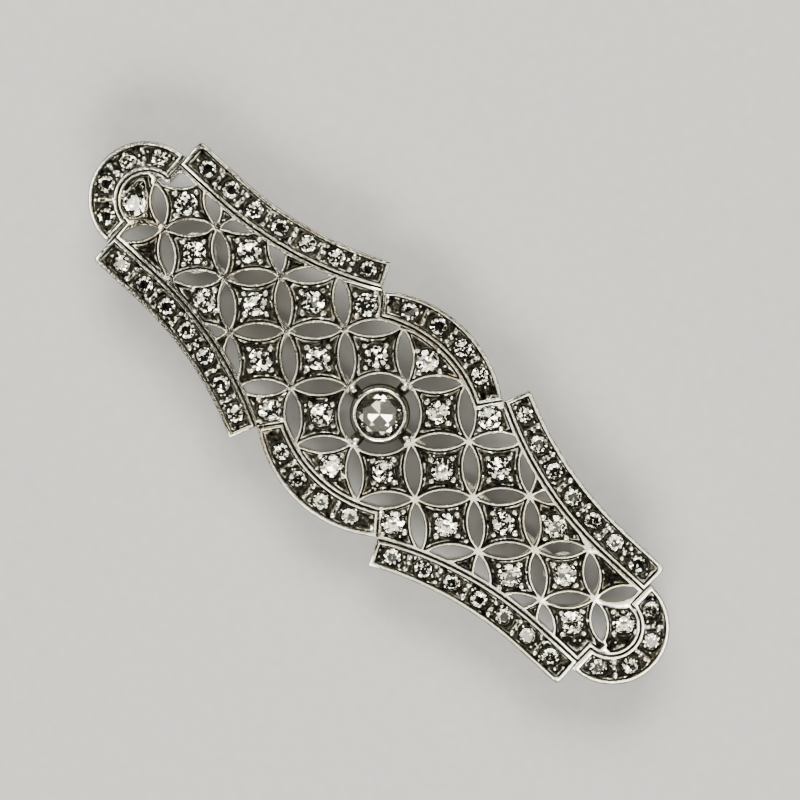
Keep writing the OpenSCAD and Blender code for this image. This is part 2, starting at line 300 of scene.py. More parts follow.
# Each run of band stones: node name, its places in order.
SIDE_PLACES = [side_place(i) for i in range(SIDE_STONES)]
ARCH_PLACES = [arch_place(i) for i in range(ARCH_STONES)]
END_PLACES = [end_place(i) for i in range(END_STONES)]
BAND_RUNS = {
    "side_stones_1": SIDE_PLACES,
    "side_stones_2": [(-x, y) for x, y in SIDE_PLACES],
    "side_stones_3": [(-x, -y) for x, y in SIDE_PLACES],
    "side_stones_4": [(x, -y) for x, y in SIDE_PLACES],
    "arch_stones_1": ARCH_PLACES,
    "arch_stones_2": [(-x, -y) for x, y in ARCH_PLACES],
    "end_stones_1": END_PLACES,
    "end_stones_2": [(-x, -y) for x, y in END_PLACES],
}


def socket(group, name, kind, way, value=None):
    """Adds a named input or output to a node group."""
    made = group.interface.new_socket(name=name, socket_type=kind, in_out=way)
    if value is not None:
        made.default_value = value


def node(tree, kind, links=(), **settings):
    """Adds a node with these settings. Links are pairs of an input and the socket that feeds it."""
    made = tree.nodes.new(kind)
    for key, value in settings.items():
        setattr(made, key, value)
    for where, source in links:
        tree.links.new(made.inputs[where], source)
    return made


def fill(tree, where, value):
    """Feeds an input from a socket, or gives it a plain value."""
    if isinstance(value, bpy.types.NodeSocket):
        tree.links.new(where, value)
    else:
        where.default_value = value


def object_place(tree):
    """Object coordinates."""
    return node(tree, "ShaderNodeTexCoord").outputs["Object"]


def noise(tree, place, scale, detail):
    """A noise pattern's value at a place."""
    made = node(tree, "ShaderNodeTexNoise", [("Vector", place)])
    made.inputs["Scale"].default_value = scale
    made.inputs["Detail"].default_value = detail
    return made.outputs[0]


def ramp(tree, source, *stops):
    """A colour ramp through stops, each a position with a grey or a colour."""
    made = node(tree, "ShaderNodeValToRGB", [(0, source)])
    bar = made.color_ramp.elements
    while len(bar) < len(stops):
        bar.new(0.5)
    for element, (place, colour) in zip(bar, stops):
        element.position = place
        element.color = colour if isinstance(colour, tuple) else (colour, colour, colour, 1)
    return made.outputs[0]


def mixed(tree, factor, a, b):
    """Colour a where the factor is 0 and colour b where it is 1."""
    made = node(tree, "ShaderNodeMix", data_type="RGBA")
    for where, value in ((0, factor), (6, a), (7, b)):
        fill(tree, made.inputs[where], value)
    return made.outputs[2]


def number(tree, operation, *values, clamp=False):
    """One step of arithmetic on sockets and plain values."""
    made = node(tree, "ShaderNodeMath", operation=operation, use_clamp=clamp)
    for where, value in enumerate(values):
        fill(tree, made.inputs[where], value)
    return made.outputs[0]


# Colours of the silver, of the oxide on it and of the glass.
BRIGHT_SILVER = (0.94, 0.922, 0.855, 1)
STAINED_SILVER = (0.62, 0.53, 0.36, 1)
BLACK_OXIDE = (0.008, 0.0076, 0.0064, 1)
GREY_OXIDE = (0.075, 0.071, 0.058, 1)
CLEAR_GLASS = (0.98, 0.965, 0.86, 1)
STRAW_GLASS = (0.90, 0.87, 0.74, 1)

# Patterns on the silver, each a scale to the metre and its detail: broad stains, fine tarnish and grit. The
# scratches are drawn out along one way.
BROAD = (190.0, 4.0)
FINE = (2600.0, 3.0)
GRIT = (9000.0, 2.0)
SCRATCH = (1.0, 2.0)
SCRATCH_SCALE = (900.0, 14000.0, 3000.0)
SCRATCH_TURN = (0, 0, 0.6)
# Patterns in the glass: a drift of tint and rubbed facets.
DRIFT = (260.0, 2.0)
RUB = (5200.0, 3.0)
RUB_ROUGH = 0.05
# The paper's fibres.
FIBRE = (900.0, 4.0)


def make_silver_wear():
    """Old silver: dark oxide where the mask says, stains, fine scratches and small dents."""
    tree = bpy.data.node_groups.new("silver_wear", "ShaderNodeTree")
    socket(tree, "Recess", "NodeSocketFloat", "INPUT", 0.0)
    socket(tree, "Stain", "NodeSocketFloat", "INPUT", 0.3)
    socket(tree, "Polish", "NodeSocketFloat", "INPUT", 0.2)
    socket(tree, "Color", "NodeSocketColor", "OUTPUT")
    socket(tree, "Roughness", "NodeSocketFloat", "OUTPUT")
    socket(tree, "Height", "NodeSocketFloat", "OUTPUT")
    given = node(tree, "NodeGroupInput")
    place = object_place(tree)
    broad = noise(tree, place, *BROAD)
    fine = noise(tree, place, *FINE)
    grit = noise(tree, place, *GRIT)
    long_way = node(tree, "ShaderNodeMapping", [("Vector", place)])
    long_way.inputs["Rotation"].default_value = SCRATCH_TURN
    long_way.inputs["Scale"].default_value = SCRATCH_SCALE
    scratch = noise(tree, long_way.outputs[0], *SCRATCH)

    stained = ramp(tree, broad, (0.42, 0.0), (0.66, 1.0))
    stain = number(tree, "MULTIPLY", stained, given.outputs["Stain"])
    clean = mixed(tree, stain, BRIGHT_SILVER, STAINED_SILVER)
    speckle = ramp(tree, fine, (0.53, 0.0), (0.73, 1.0))
    oxide = mixed(tree, speckle, BLACK_OXIDE, GREY_OXIDE)
    edge = number(tree, "ADD", given.outputs["Recess"], number(tree, "MULTIPLY", fine, 0.5))
    mask = ramp(tree, edge, (0.45, 0.0), (0.72, 1.0))
    colour = mixed(tree, mask, clean, oxide)

    rough = number(tree, "MULTIPLY_ADD", fine, 0.16, -0.06)
    rough = number(tree, "ADD", rough, given.outputs["Polish"])
    rough = number(tree, "ADD", rough, number(tree, "MULTIPLY", mask, 0.3), clamp=True)
    dents = number(tree, "MULTIPLY", fine, number(tree, "MULTIPLY_ADD", mask, 1.6, 0.45))
    height = number(tree, "ADD", dents, number(tree, "MULTIPLY", scratch, 0.12))
    height = number(tree, "ADD", height, number(tree, "MULTIPLY", grit, 0.08))

    out = node(tree, "NodeGroupOutput")
    tree.links.new(out.inputs["Color"], colour)
    tree.links.new(out.inputs["Roughness"], rough)
    tree.links.new(out.inputs["Height"], height)
    return tree


def make_stone_life():
    """Cut glass: a faint grey and straw tint that drifts, and slightly rubbed facets."""
    tree = bpy.data.node_groups.new("stone_life", "ShaderNodeTree")
    socket(tree, "Tint", "NodeSocketFloat", "INPUT", 0.5)
    socket(tree, "Color", "NodeSocketColor", "OUTPUT")
    socket(tree, "Roughness", "NodeSocketFloat", "OUTPUT")
    given = node(tree, "NodeGroupInput")
    place = object_place(tree)
    drift = noise(tree, place, *DRIFT)
    rub = noise(tree, place, *RUB)
    amount = number(tree, "MULTIPLY", ramp(tree, drift, (0.4, 0.0), (0.62, 1.0)), given.outputs["Tint"])
    colour = mixed(tree, amount, CLEAR_GLASS, STRAW_GLASS)
    rough = number(tree, "MULTIPLY", ramp(tree, rub, (0.55, 0.0), (0.78, 1.0)), RUB_ROUGH)
    out = node(tree, "NodeGroupOutput")
    tree.links.new(out.inputs["Color"], colour)
    tree.links.new(out.inputs["Roughness"], rough)
    return tree


SILVER_WEAR = make_silver_wear()
STONE_LIFE = make_stone_life()
# Depth of the silver's fine relief, in millimetres.
RELIEF_DEPTH = 0.04


def silver(name, polish, stain, bump, recess=0.0):
    """Silver whose recess is one number, or the name of the attribute that holds it."""
    material = bpy.data.materials.new(name)
    material.use_nodes = True
    tree = material.node_tree
    shader = tree.nodes["Principled BSDF"]
    shader.inputs["Metallic"].default_value = 1.0
    wear = node(tree, "ShaderNodeGroup", node_tree=SILVER_WEAR)
    wear.inputs["Polish"].default_value = polish
    wear.inputs["Stain"].default_value = stain
    if isinstance(recess, str):
        mask = node(tree, "ShaderNodeAttribute", attribute_name=recess)
        tree.links.new(wear.inputs["Recess"], mask.outputs["Fac"])
    else:
        wear.inputs["Recess"].default_value = recess
    relief = node(tree, "ShaderNodeBump", [("Height", wear.outputs["Height"])])
    relief.inputs["Strength"].default_value = bump
    relief.inputs["Distance"].default_value = RELIEF_DEPTH * MM
    tree.links.new(shader.inputs["Base Color"], wear.outputs["Color"])
    tree.links.new(shader.inputs["Roughness"], wear.outputs["Roughness"])
    tree.links.new(shader.inputs["Normal"], relief.outputs[0])
    return material


def stone_glass(name, ior, tint, clear):
    """Cut glass with its own strength of glints, depth of tint and clearness."""
    material = bpy.data.materials.new(name)
    material.use_nodes = True
    tree = material.node_tree
    shader = tree.nodes["Principled BSDF"]
    shader.inputs["Transmission Weight"].default_value = clear
    shader.inputs["IOR"].default_value = ior
    life = node(tree, "ShaderNodeGroup", node_tree=STONE_LIFE)
    life.inputs["Tint"].default_value = tint
    tree.links.new(shader.inputs["Base Color"], life.outputs["Color"])
    tree.links.new(shader.inputs["Roughness"], life.outputs["Roughness"])
    return material


PLAQUE_SILVER = silver("plaque_silver", polish=0.10, stain=0.6, bump=0.5, recess="recess")
BEAD_SILVER = silver("bead_silver", polish=0.10, stain=0.2, bump=0.35, recess=0.32)
PIN_SILVER = silver("pin_silver", polish=0.26, stain=0.6, bump=0.4)
SMALL_GLASS = stone_glass("small_stone_glass", ior=1.9, tint=0.6, clear=1.0)
BAND_GLASS = stone_glass("band_stone_glass", ior=1.6, tint=0.9, clear=1.0)
CENTRE_GLASS = stone_glass("centre_stone_glass", ior=1.76, tint=0.3, clear=0.995)


# How the polished tops are rounded: width and rise of each step, in millimetres.
RIM_STEPS = ((0.015, 0.045), (0.022, 0.03), (0.03, 0.018), (0.035, 0.006))
COLLET_STEPS = ((0.03, 0.06), (0.045, 0.045), (0.055, 0.025), (0.05, 0.006))

# Corners nearer than this are merged before the tops are rounded.
MERGE = 0.0005
# A top faces up and lies at its own height.
FACES_UP = 0.99
TOP_SLACK = 0.01

# Recess mask of the walls and floors between these heights, and of everything else.
WALL_LOW = BACK_Z + 0.05
WALL_HIGH = FRONT_Z - 0.1
WALL_DARK = 1.0
TOP_DULL = 0.1
# Oxide left on the flanks of the polished tops: height and recess mask.
FLANK_DARK = ((6.045, 1.0), (6.075, 0.9), (6.093, 0.42), (7.26, 0.5), (7.305, 0.3))
SAME_HEIGHT = 0.004

# The collet and its bridges: heights of the bridges, how far out both reach, and the recess masks of both
# and of the bezel's inside.
BRIDGE_LOW = FRONT_Z - 0.2
BRIDGE_HIGH = FRONT_Z + 0.3
BRIDGE_REACH = 3.5
COLLET_REACH = 2.95
BEZEL_WALL = 0.16
COLLET_DARK = 1.6
BRIDGE_DARK = 0.8
BEZEL_DARK = 0.8

# How much steeper the seats are ground for the real cuts, from just under the girdle.
SEAT_STEEPER = 1.22
SEAT_LIP = 0.02
# A seat's corners lie inside its edge by this, above this height, and under the girdle by this.
SEAT_SLACK = 0.005
SEAT_LOW = BACK_Z + 0.02
SEAT_TOP_GAP = 0.03
# Edges sharper than this many degrees stay crisp.
PLAQUE_SMOOTH = 42


def grind_seats(plaque):
    """Steepens the cone under every stone, so that no stone touches it below the girdle."""
    seats = [(x, y, CELL_R, GIRDLE_Z) for x, y in LATTICE_PLACES] + [(0, 0, CENTRE_R, CENTRE_GIRDLE_Z)]
    seats += [(x, y, BAND_R, GIRDLE_Z) for places in BAND_RUNS.values() for x, y in places]
    finder = kdtree.KDTree(len(seats))
    for i, (x, y, _, _) in enumerate(seats):
        finder.insert((x, y, 0), i)
    finder.balance()
    for vertex in plaque.data.vertices:
        x, y, z = vertex.co / MM
        _, i, away = finder.find((x, y, 0))
        _, _, radius, girdle = seats[i]
        if away < radius + PLAY - SEAT_SLACK and SEAT_LOW < z < girdle - SEAT_TOP_GAP:
            top = girdle - SEAT_LIP
            vertex.co.z = (top - (top - z) * SEAT_STEEPER) * MM


def make_plaque():
    """The plaque with every rim, pad, bridge and grain rounded over as polishing does."""
    cad = NODES["openwork_plaque"]
    plaque = bpy.data.objects.new("silver_plaque", cad.data.copy())
    bpy.context.scene.collection.objects.link(plaque)
    only(plaque)
    bpy.ops.mesh.customdata_custom_splitnormals_clear()
    shape(plaque)
    bpy.ops.mesh.select_all(action="SELECT")
    bpy.ops.mesh.remove_doubles(threshold=MERGE * MM)
    bpy.ops.mesh.select_all(action="DESELECT")

    for top, steps in ((FRONT_Z, RIM_STEPS), (COLLET_Z, COLLET_STEPS)):
        pick(
            lambda face: face.normal.z > FACES_UP
            and abs(face.calc_center_median().z / MM - top) < TOP_SLACK
        )
        for width, rise in steps:
            bpy.ops.mesh.inset(
                thickness=width * MM, depth=rise * MM, use_boundary=True, use_even_offset=False
            )
    bpy.ops.object.mode_set(mode="OBJECT")
    mask = plaque.data.attributes.new("recess", "FLOAT", "POINT")
    for vertex, cell in zip(plaque.data.vertices, mask.data):
        x, y, z = vertex.co / MM
        away = math.hypot(x, y)
        cell.value = WALL_DARK if WALL_LOW < z < WALL_HIGH else TOP_DULL
        for height, dark in FLANK_DARK:
            if abs(z - height) < SAME_HEIGHT:
                cell.value = dark
        if z > BRIDGE_LOW and away < BRIDGE_REACH:
            if z < BRIDGE_HIGH:
                cell.value = COLLET_DARK if away < COLLET_REACH else BRIDGE_DARK
            elif away < CENTRE_R + BEZEL_WALL:
                cell.value = BEZEL_DARK
    grind_seats(plaque)
    smooth(plaque, PLAQUE_SMOOTH)
    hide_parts("openwork_plaque")
    dress(plaque, PLAQUE_SILVER)


# Facets of a round old cut of radius 1: the rod it is ground from, its mains and the turn between them, half
# of the girdle's height, and slopes in degrees against the mains.
ROD_SIDES = 32
ROD_LENGTH = 3
MAINS = 8
MAIN_TURN = 360 / MAINS
GIRDLE_HALF = 0.03
BREAK_STEEPER = 2.6
HALF_STEEPER = 1.6
STAR_FLATTER = 13
# How exact a facet's plane is, and how near corners are merged.
PLANE_EXACT = 1e-6
CORNER_MERGE = 1e-4


def grind(azimuth, slope, radius, height, down=False):
    """Cuts one flat facet: a plane with this slope through a point at this azimuth."""
    a, s = math.radians(azimuth), math.radians(slope)
    out = Vector((math.cos(a), math.sin(a), 0))
    normal = out * math.sin(s) + Vector((0, 0, -1 if down else 1)) * math.cos(s)
    bpy.ops.mesh.select_all(action="SELECT")
    bpy.ops.mesh.bisect(
        plane_co=out * radius + Vector((0, 0, height)),
        plane_no=normal, use_fill=True, clear_outer=True, threshold=PLANE_EXACT,
    )


def cut_stone(name, table, crown, pavilion, culet, halves=True):
    """A round old cut of radius 1, ground facet by facet from a short rod, with or without lower halves."""
    bpy.ops.mesh.primitive_cylinder_add(vertices=ROD_SIDES, radius=1, depth=ROD_LENGTH)
    stone = bpy.context.object
    stone.name = name
    shape(stone)
    edge = GIRDLE_HALF
    main = math.degrees(math.atan((crown - edge) / (1 - table)))
    deep = math.degrees(math.atan(pavilion - edge))
    half_turn = MAIN_TURN / 2
    for k in range(MAINS):
        grind(MAIN_TURN * k, main, 1, edge)
        grind(MAIN_TURN * k, deep, 1, -edge, down=True)
    for k in range(2 * MAINS):
        azimuth = half_turn * k + half_turn / 2
        grind(azimuth, main + BREAK_STEEPER, 1, edge)
        if halves:
            grind(azimuth, deep + HALF_STEEPER, 1, -edge, down=True)
    grind(0, 0, 0, crown)
    flat_edge = table * math.cos(math.radians(half_turn))
    for k in range(MAINS):
        grind(MAIN_TURN * k + half_turn, main - STAR_FLATTER, flat_edge, crown)
    grind(0, 0, 0, -pavilion + culet, down=True)
    bpy.ops.mesh.select_all(action="SELECT")
    bpy.ops.mesh.remove_doubles(threshold=CORNER_MERGE)
    bpy.ops.mesh.normals_make_consistent(inside=False)
    return done(stone)


def pear_point(x, y):
    """Draws a point on the round outline's far half out towards the pear's tip."""
    return (x * (1 + (PEAR_LENGTH - 1) * x), y * (1 - PEAR_NARROWS * x)) if x > 0 else (x, y)


# The cuts, as shares of the radius, and the depths of the pavilions among the small stones.
LATTICE_CUT = {"table": 0.54, "crown": 0.31, "culet": 0.05}
LATTICE_DEPTHS = (0.85, 0.9, 0.95)
BAND_CUT = {"table": 0.56, "crown": 0.29, "culet": 0.05}
BAND_DEPTHS = (0.8, 0.9)
CENTRE_CUT = {"table": 0.8, "crown": 0.25, "pavilion": 0.95, "culet": 0.03}
# Turns and leans in degrees: the turn from one lattice stone to the next, and ranges of chance.
LATTICE_TURN = 17
CENTRE_TURN = 18
BAND_TURNS = (0, 45)
LATTICE_LEANS = (0.5, 6.0)
BAND_LEANS = (0.5, 7.0)
ANY_WAY = (0, 360)


def set_stones():
    """Every stone in its seat, each turned and leaning a little differently."""
    lattice_cuts = [cut_stone("lattice_cut", pavilion=deep, **LATTICE_CUT) for deep in LATTICE_DEPTHS]
    band_cuts = [cut_stone("band_cut", pavilion=deep, **BAND_CUT) for deep in BAND_DEPTHS]
    centre_cut = cut_stone("centre_cut", halves=False, **CENTRE_CUT)
    pear_cut = copy_of(lattice_cuts[1], Matrix())
    for vertex in pear_cut.data.vertices:
        x, y, z = vertex.co
        if x > 0:
            vertex.co = pear_point(x, y) + (max(z, -PEAR_KEEL - PEAR_KEEL_DROP * (1 - x)),)
    for i, (x, y) in enumerate(LATTICE_PLACES, 1):
        lean = chance.uniform(*LATTICE_LEANS)
        if i == PEAR:
            cut, turn, girdle = pear_cut, PEAR_TURN, PEAR_GIRDLE_Z
        else:
            cut, turn, girdle = chance.choice(lattice_cuts), LATTICE_TURN * i, GIRDLE_Z
        stone = copy_of(cut, at(x, y, girdle, turn, CELL_R * MM, lean, chance.uniform(*ANY_WAY)))
        name = f"lattice_stone_{i:02d}"
        stone.name = f"cut_{name}"
        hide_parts(name)
        dress(stone, SMALL_GLASS)
    for name, places in BAND_RUNS.items():
        parts = []
        for x, y in places:
            lean = chance.uniform(*BAND_LEANS)
            turn = chance.uniform(*BAND_TURNS)
            place = at(x, y, GIRDLE_Z, turn, BAND_R * MM, lean, chance.uniform(*ANY_WAY))
            parts.append(copy_of(chance.choice(band_cuts), place))
        field = joined(parts, f"cut_{name}")
        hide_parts(name)
        dress(field, BAND_GLASS)
    centre = copy_of(centre_cut, at(0, 0, CENTRE_GIRDLE_Z, CENTRE_TURN, CENTRE_R * MM))
    centre.name = "cut_centre_stone"
    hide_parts("centre_stone")
    dress(centre, CENTRE_GLASS)
    drop(*lattice_cuts, *band_cuts, centre_cut, pear_cut)


# A grain's flat foot below its middle, its height against its width, and its smoothing.
BEAD_FOOT = -0.45
BEAD_FLAT = 0.6
BEAD_SMOOTH = 50


def make_bead():
    """A round grain head of radius 1 with a flat foot."""
    bpy.ops.mesh.primitive_ico_sphere_add(subdivisions=2, radius=1)
    bead = bpy.context.object
    bead.name = "bead"
    shape(bead)
    bpy.ops.mesh.select_all(action="SELECT")
    bpy.ops.mesh.bisect(
        plane_co=(0, 0, BEAD_FOOT), plane_no=(0, 0, -1), use_fill=True, clear_outer=True
    )
    bpy.ops.mesh.select_all(action="SELECT")
    bpy.ops.transform.resize(value=(1, 1, BEAD_FLAT))
    done(bead)
    smooth(bead, BEAD_SMOOTH)
    return bead


# The crossings in two corners lie off the rule.
CORNER_CROSSING = (29.3, 4.6)
CORNER_SIDES = {(8, 1): 1, (-8, -1): -1}
# The cells of the last columns run out into the round ends, and one lens beside this cell is a sunk pocket.
LAST_COLUMN = 8
POCKET_CELL = (7, -1)


def crossing(m, n):
    """Where the rims of four cells meet."""
    side = CORNER_SIDES.get((m, n))
    if side:
        return side * CORNER_CROSSING[0], side * CORNER_CROSSING[1]
    return lattice_x(m), lattice_y(m, n)


def in_field(x, y, margin):
    """True inside the lattice, at least margin from the strip that frames it."""
    gap = FRAME_W + margin
    if abs(x) > BAND_END - gap:
        return math.hypot(abs(x) - END_X, y) < END_INNER - gap
    return abs(y) < rim_y(x) - gap and math.hypot(x, y) > RING_R + CELL_RIM + margin


def outside_lens(x, y, p, q, grow):
    """True outside the pierced lens between two crossings, widened by grow."""
    length = math.dist(p, q)
    half = length / 2 - TIP_GAP
    big = (half * half + LENS_HALF * LENS_HALF) / (2 * LENS_HALF)
    across = (-(q[1] - p[1]) / length, (q[0] - p[0]) / length)
    x -= (p[0] + q[0]) / 2
    y -= (p[1] + q[1]) / 2
    off = big - LENS_HALF
    return any(
        math.hypot(x - side * off * across[0], y - side * off * across[1]) > big + grow
        for side in (-1, 1)
    )


def in_cell(m, n, keep):
    """A test for points of one cell that stay clear of its rims by keep."""
    way, pads = 1, 4
    corners = [crossing(m + a, n + b) for a, b in ((0, 1), (-1, 0), (0, -1), (1, 0))]
    if abs(m) == LAST_COLUMN:
        way, pads = (1 if m > 0 else -1), 3
        near = [(m + a * way, n + b) for a, b in ((0, 1), (-1, 0), (0, -1))]
        corners = [(lattice_x(column), lattice_y(column, row)) for column, row in near]
        corners += [(x + PITCH * way, y) for x, y in (corners[2], corners[0])]
    sides = list(zip(corners, corners[1:] + corners[:1]))
    pocket = sides[2] if (m, n) == POCKET_CELL else None
    rims = [side for side in sides[: 2 if pads == 3 else 4] if side != pocket]

    def test(x, y):
        sunk = pocket and not outside_lens(x, y, *pocket, -keep)
        within = all(((q[0] - p[0]) * (y - p[1]) - (q[1] - p[1]) * (x - p[0])) * way > 0 for p, q in sides)
        return (
            in_field(x, y, keep)
            and (within or sunk)
            and all(math.dist((x, y), corner) > PAD_R + keep for corner in corners[:pads])
            and all(outside_lens(x, y, p, q, CELL_RIM + keep) for p, q in rims)
        )

    return test


def in_side_band(x, y, edge):
    """True inside a side band, at least edge from its outline."""
    x, y = abs(x), abs(y)
    if x > BAND_END - edge or (Vector((x, y)) - CUT_LOW).dot(CUT_WAY) < edge:
        return False
    if x > BAND_BEND:
        return BAND_INNER + edge < y < BAND_OUTER - edge
    below = math.hypot(x - BAND_BEND, y - BAND_INNER - BAND_SWEEP) < BAND_SWEEP - edge
    return below and math.hypot(x - BAND_BEND, y - BAND_OUTER - BAND_SWEEP) > BAND_SWEEP + edge


def in_arch(x, y, edge):
    """True inside a middle arch, at least edge from its outline."""
    y = abs(y)
    if y < ARCH_Y + edge / math.sin(ARCH_HALF) + abs(x) / math.tan(ARCH_HALF):
        return False
    return math.hypot(x, y - ARCH_Y) < ARCH_R - edge and math.hypot(x, y - ARCH_IN_Y) > ARCH_R + edge


def in_end_band(x, y, edge):
    """True inside a round end band, at least edge from its outline."""
    x = abs(x)
    if x < END_OUTER_X + edge:
        return False
    return math.hypot(x - END_OUTER_X, y) < END_OUTER - edge and math.hypot(x - END_X, y) > END_INNER + edge


BAND_TESTS = {"side": in_side_band, "arch": in_arch, "end": in_end_band}
# How much nearer a plate's points are to their own stone than to the next.
PLATE_GAP = 0.06


def in_band(name, places, k, keep):
    """A test for points of a band's channel that lie nearest to its stone k."""
    in_kind = BAND_TESTS[name.split("_")[0]]
    others = places[max(k - 1, 0) : k] + places[k + 1 : k + 2]

    def test(x, y):
        own = math.dist((x, y), places[k])
        clear = all(math.dist((x, y), other) > own + PLATE_GAP for other in others)
        return clear and in_kind(x, y, RIM_W + keep)

    return test


# A plate's rows from the stone outwards: recess mask, height over the sunk floor, whether the row is set from
# the rim and not from the stone's seat, its distance from there, and how much more that is in a wide corner.
PLATE_ROWS = (
    (1.0, -0.04, False, 0.0, 0.0),
    (0.9, 0.19, False, 0.08, 0.0),
    (0.42, 0.22, False, 0.15, 0.0),
    (1.0, 0.09, False, 0.2, 0.0),
    (0.95, 0.1, True, 0.25, 0.35),
    (0.54, 0.28, True, 0.2, 0.3),
    (0.34, 0.31, True, 0.06, 0.0),
    (1.0, -0.04, True, 0.0, 0.0),
)
# Columns round a plate, and the first of the rows that wear and rise in corners.
COLUMNS = 48
OUTER_ROWS_FROM = 3
# Widths at which the rows have their full distances, a corner starts and is whole, and the full height is
# reached, and how much a corner rises.
FULL_WIDTH = 0.46
CORNER_FROM = 0.7
CORNER_SPAN = 0.6
HIGH_WIDTH = 0.22
CORNER_RISE = 0.06
# The graver's unevenness, sideways and in height.
UNEVEN_OUT = 0.02
UNEVEN_UP = 0.035
# How far a plate may reach from its stone, and the step of the search for its edge.
REACH_LIMIT = 3.4
REACH_STEP = 0.03
# How high the outer thread still stands, from whole to nearly worn away, and how often.
WORN_HEIGHTS = (1.0, 0.45, 0.1)
WORN_SHARES = (72, 14, 14)
WORN_DARK = 0.9
# How far outside a seat a plate starts, for a lattice stone, a band stone and the pear with its thread, and
# how far from its middle in a bare cell.
SEAT_EDGE = 0.03
BAND_EDGE = 0.02
PEAR_EDGE = 0.3
BARE_EDGE = 0.04
# How far plates keep from the rims in a cell, a bare cell and a band.
CELL_KEEP = 0.1
BARE_KEEP = 0.08
BAND_KEEP = 0.07
# The pear's thread: its unevenness, and each row's distance out from its seat, height over the sunk floor and
# recess mask.
PEAR_UNEVEN = 0.008
PEAR_ROWS = (
    (0.0, 0.0, 1.0), (0.0, 0.3, 0.6), (0.03, 0.46, 0.0), (0.08, 0.52, 0.0),
    (0.15, 0.52, 0.0), (0.21, 0.45, 0.0), (0.24, 0.22, 0.6), (0.25, -0.04, 1.0),
)


def make_sheet():
    """The flat ring of silver that each plate is raised from, one unit between its rows."""
    bpy.ops.mesh.primitive_circle_add(vertices=COLUMNS, radius=1)
    sheet = bpy.context.object
    sheet.name = "sheet"
    shape(sheet)
    bpy.ops.mesh.select_mode(type="EDGE")
    bpy.ops.mesh.select_all(action="SELECT")
    for row in range(1, len(PLATE_ROWS)):
        bpy.ops.mesh.extrude_region_move()
        bpy.ops.transform.resize(value=((row + 1) / row, (row + 1) / row, 1))
    bpy.ops.mesh.select_all(action="SELECT")
    bpy.ops.mesh.normals_make_consistent(inside=False)
    done(sheet)
    if sheet.data.polygons[0].normal.z < 0:
        sheet.data.flip_normals()
    mask = sheet.data.attributes.new("recess", "FLOAT", "POINT")
    for vertex, cell in zip(sheet.data.vertices, mask.data):
        cell.value = PLATE_ROWS[round(vertex.co.length) - 1][0]
    return sheet


def raise_plate(sheet, x, y, inner, inside):
    """Fits one plate between a stone's seat and the rims round it, roughly worked as by a graver."""
    plate = copy_of(sheet, Matrix())
    reach = []
    for column in range(COLUMNS):
        a = math.tau * column / COLUMNS
        start = inner(a)
        r = start
        while r < REACH_LIMIT and inside(x + r * math.cos(a), y + r * math.sin(a)):
            r += REACH_STEP
        worn = chance.choices(WORN_HEIGHTS, WORN_SHARES)[0]
        reach.append((start, max(r - REACH_STEP, start), worn))
    for vertex, cell in zip(plate.data.vertices, plate.data.attributes["recess"].data):
        row = round(vertex.co.length) - 1
        a = math.atan2(vertex.co.y, vertex.co.x)
        start, end, worn = reach[round(a / math.tau * COLUMNS) % COLUMNS]
        width = end - start
        tight = min(1, width / FULL_WIDTH)
        corner = min(1, max(0, (width - CORNER_FROM) / CORNER_SPAN))
        _, height, from_rim, off, more = PLATE_ROWS[row]
        off = (off + more * corner) * tight
        r = end - off if from_rim else start + off
        if 0 < row < len(PLATE_ROWS) - 1:
            r += chance.uniform(-UNEVEN_OUT, UNEVEN_OUT) * tight
            height += chance.uniform(-UNEVEN_UP, UNEVEN_UP) * tight
            if row >= OUTER_ROWS_FROM:
                height = height * worn + CORNER_RISE * corner
            if worn == WORN_HEIGHTS[-1]:
                cell.value = WORN_DARK
            height *= min(1, width / HIGH_WIDTH)
        vertex.co = Vector((x + r * math.cos(a), y + r * math.sin(a), FLOOR_Z + height)) * MM
    return plate


def pear_thread(sheet):
    """The raised thread of silver that follows the pear's outline."""
    x0, y0 = LATTICE_PLACES[PEAR - 1]
    thread = copy_of(sheet, Matrix())
    for vertex, cell in zip(thread.data.vertices, thread.data.attributes["recess"].data):
        row = round(vertex.co.length) - 1
        a = math.atan2(vertex.co.y, vertex.co.x)
        out, rise, cell.value = PEAR_ROWS[row]
        r = pear_seat(a) + out + chance.uniform(-PEAR_UNEVEN, PEAR_UNEVEN)
        vertex.co = Vector((x0 + r * math.cos(a), y0 + r * math.sin(a), FLOOR_Z + rise)) * MM
    return thread


# A bare cell gets a plate of its own if enough spots of a fine grid lie in it.
COLUMN_RANGE = range(-8, 9)
ROW_RANGE = range(-3, 4)
SPOT_RANGE = range(-22, 23)
SPOT_STEP = 0.15
FEWEST_SPOTS = 12


